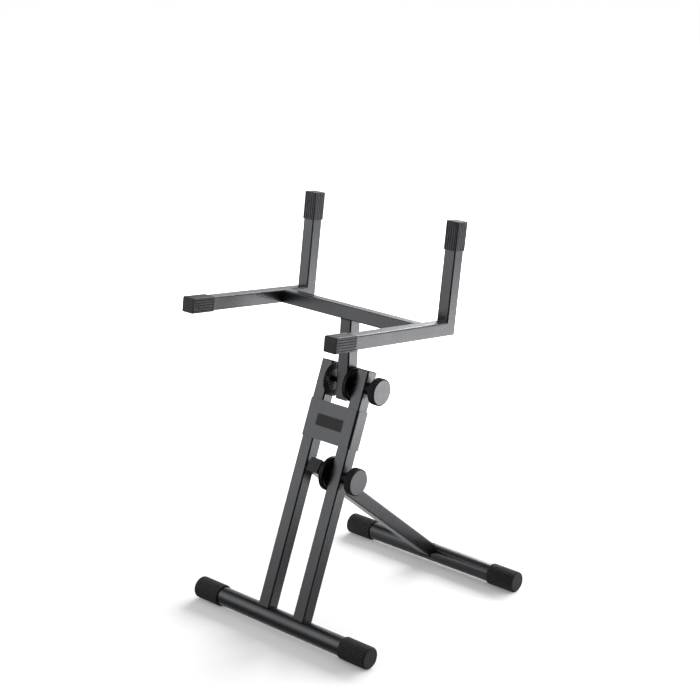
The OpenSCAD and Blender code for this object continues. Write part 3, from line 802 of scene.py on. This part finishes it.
def flat_sheet(name, finish, place):
    """A sheet of one face. Place carries it from a square metre at the origin."""
    shape = bmesh.new()
    bmesh.ops.create_grid(shape, x_segments=1, y_segments=1, size=0.5, matrix=place)
    mesh = bpy.data.meshes.new(name)
    shape.to_mesh(mesh)
    shape.free()
    mesh.materials.append(finish)
    sheet = bpy.data.objects.new(name, mesh)
    bpy.context.scene.collection.objects.link(sheet)
    return sheet


def lit_sheet_finish(name, roughness, specular, grey):
    """A plain dull finish that can also give white light."""
    finish, tree, shader = start_finish(name, specular)
    shader.inputs["Roughness"].default_value = roughness
    shader.inputs["Base Color"].default_value = (grey, grey, grey, 1)
    shader.inputs["Emission Color"].default_value = (1, 1, 1, 1)
    return finish, tree, shader

# %% Lay the floor
floor_size, paper_grey = 18, 0.8
middle_glow, far_glow, glow_from, glow_to = 0.15, 1.0, 0.3, 1.5

floor_paper, tree, shader = lit_sheet_finish("floor_paper", 0.9, 0.1, paper_grey)
from_middle = tree.nodes.new("ShaderNodeVectorMath")
from_middle.operation = "LENGTH"
tree.links.new(tree.nodes.new("ShaderNodeTexCoord").outputs["Object"], from_middle.inputs[0])
glow = spread(tree, from_middle.outputs["Value"], middle_glow, far_glow, glow_from, glow_to)
paper_light = combined(tree, "MULTIPLY", seen_directly(tree), glow)
tree.links.new(paper_light, shader.inputs["Emission Strength"])

floor = flat_sheet("floor", floor_paper, Matrix.Diagonal((floor_size, floor_size, 1, 1)))
print("floor:", floor_size, "m square")

# %% Set the world
soft_fill, white = 0.44, 1.0
world = bpy.data.worlds.new("studio")
bpy.context.scene.world = world
world.use_nodes = True
tree = world.node_tree
sky = tree.nodes["Background"]
sky.inputs["Color"].default_value = (1, 1, 1, 1)
tree.links.new(spread(tree, seen_directly(tree), soft_fill, white, 0, 1), sky.inputs["Strength"])
print("world: white, with a fill of", soft_fill)

# %% [markdown]
# ## Soft studio light
#
# Black satin paint shows its shape mostly by what it reflects, so each lamp is a soft box with its own job. A
# broad one stands behind and lights the floor, so that the shadow falls towards the viewer. A low one at the
# back right fills the floor there and the sides that face it. It is left out of reflections, because in a
# flat side its image would burn out to white from some angles. A near one at the front left is what the
# front faces reflect, and gives them their even grey. Point lamps would only leave hard specks. The lamps
# are known by the brightness of their cloth, and their power follows from that and from their size.

# %% Set up the lamps
def soft_lamp(name, place, aim, width, height, brightness, mirrored=True):
    lamp = bpy.data.lights.new(name, "AREA")
    lamp.shape = "RECTANGLE"
    lamp.size, lamp.size_y = width, height
    lamp.energy = brightness * math.pi * width * height
    stand = bpy.data.objects.new(name, lamp)
    stand.location = place
    stand.rotation_euler = (Vector(aim) - Vector(place)).to_track_quat("-Z", "Y").to_euler()
    stand.visible_camera = False
    stand.visible_glossy = mirrored
    bpy.context.scene.collection.objects.link(stand)
    print(name, round(lamp.energy, 1), "watts")


soft_lamp("back_lamp", place=(-0.5, 2.9, 1.7), aim=(-0.2, 0, 0.3), width=2.6, height=1.6, brightness=11)
soft_lamp(
    "back_right_lamp", place=(1.05, 1.25, 0.4), aim=(0, 0, 0.3), width=1.6, height=0.7, brightness=9.3,
    mirrored=False,
)
soft_lamp("front_left_lamp", place=(-0.95, -1.25, 0.93), aim=(0, 0, 0.4), width=1.1, height=1.2, brightness=2)

# %% [markdown]
# ## Cards
#
# The rounded corners between the front and the right-hand faces look towards the viewer's side of the studio.
# Photographers darken it with black card, and then the corners turn into the thin dark lines that make each
# tube crisp. Here the black cards are painted dark reflections: they show only in reflections and block no
# light. One card stands there and one lies on the floor before it. A third hangs high on the left, and gives
# the round feet their dark upper stripe, also a painted dark reflection. The right-hand faces mirror the
# floor beside them, and glowing cards stand in for that floor, so that the faces run from dark at the feet to
# bright at the top. The two grey cards near the feet are painted shade, the floor in shadow as the faces
# reflect it, and the two glowing white ones further out at the back right are a painted reflection of
# brightly lit floor. More lamps could do that too, but they would also light the floor. All of the cards show
# only in reflections.

# %% Helper that places a card
# A card is a sheet seen only in reflections: a black one paints a dark reflection, a glowing one paints a
# reflection of shaded or lit floor.
def studio_card(name, heading, distance, width, depth, glow=0.0, height=3 * mm, tip=0):
    """A heading of 0 is in front of the stand, 90 degrees is to its right, and a tip of 90 stands it up."""
    turn = math.radians(heading)
    side = Vector((math.sin(turn), -math.cos(turn), 0))
    stand = Matrix.Rotation(turn, 4, "Z") @ Matrix.Rotation(math.radians(tip), 4, "X")
    place = Matrix.Translation(side * distance + Vector((0, 0, height))) @ stand
    cloth, tree, shader = lit_sheet_finish(name + "_cloth", 1.0, 0.0, 0.003)
    shader.inputs["Emission Strength"].default_value = glow
    card = flat_sheet(name, cloth, place @ Matrix.Diagonal((width, depth, 1, 1)))
    card.visible_camera = card.visible_shadow = card.visible_diffuse = False
    print(name, width, "by", depth, "m")

# %% Place the cards
viewer_side, back_right = 40.54, 132
# Black cards: painted dark reflections.
studio_card("standing_card", viewer_side, distance=2.9, width=6.4, depth=4.0, height=2.0, tip=90)
studio_card("floor_card", viewer_side, distance=1.9, width=6.4, depth=2.0)
studio_card("high_card", heading=-100, distance=1.5, width=1.2, depth=1.2, height=1.9, tip=38)
# Grey glowing cards: painted shade, the floor in shadow as the faces reflect it.
studio_card("front_painted_shade_card", heading=0, distance=0.457, width=1.4, depth=0.486, glow=0.2)
studio_card("middle_painted_shade_card", heading=106, distance=0.18, width=0.36, depth=0.3, glow=0.62)
# White glowing cards: a painted reflection of brightly lit floor.
studio_card("near_painted_reflection_card", back_right, distance=0.9, width=1.6, depth=0.4, glow=3.4)
studio_card("far_painted_reflection_card", back_right, distance=1.65, width=1.6, depth=1.1, glow=7.0)

# %% [markdown]
# ## Camera
#
# The camera stands in front to the right, a little above the seat, with a long lens and a slight roll. Its
# place, its turn and its angle of view could be set by eye, but here they were found by fitting the stand's
# measured points to the photograph.

# %% Set the camera
half_picture, lens_in_pixels = 350, 1664.6
camera_place = (1.9098, -2.2435, 1.4040)
yaw, pitch, roll = (math.radians(a) for a in (40.69, -16.98, 1.61))

camera_data = bpy.data.cameras.new("camera")
camera_data.lens_unit = "FOV"
camera_data.angle = 2 * math.atan(half_picture / lens_in_pixels)
camera = bpy.data.objects.new("camera", camera_data)
bpy.context.scene.collection.objects.link(camera)
camera.matrix_world = (
    Matrix.Translation(camera_place)
    @ Matrix.Rotation(yaw, 4, "Z")
    @ Matrix.Rotation(math.pi / 2 + pitch, 4, "X")
    @ Matrix.Rotation(roll, 4, "Z")
)
bpy.context.scene.camera = camera
bpy.context.scene.view_settings.view_transform = "Standard"
print("lens", round(camera_data.lens, 1), "mm")
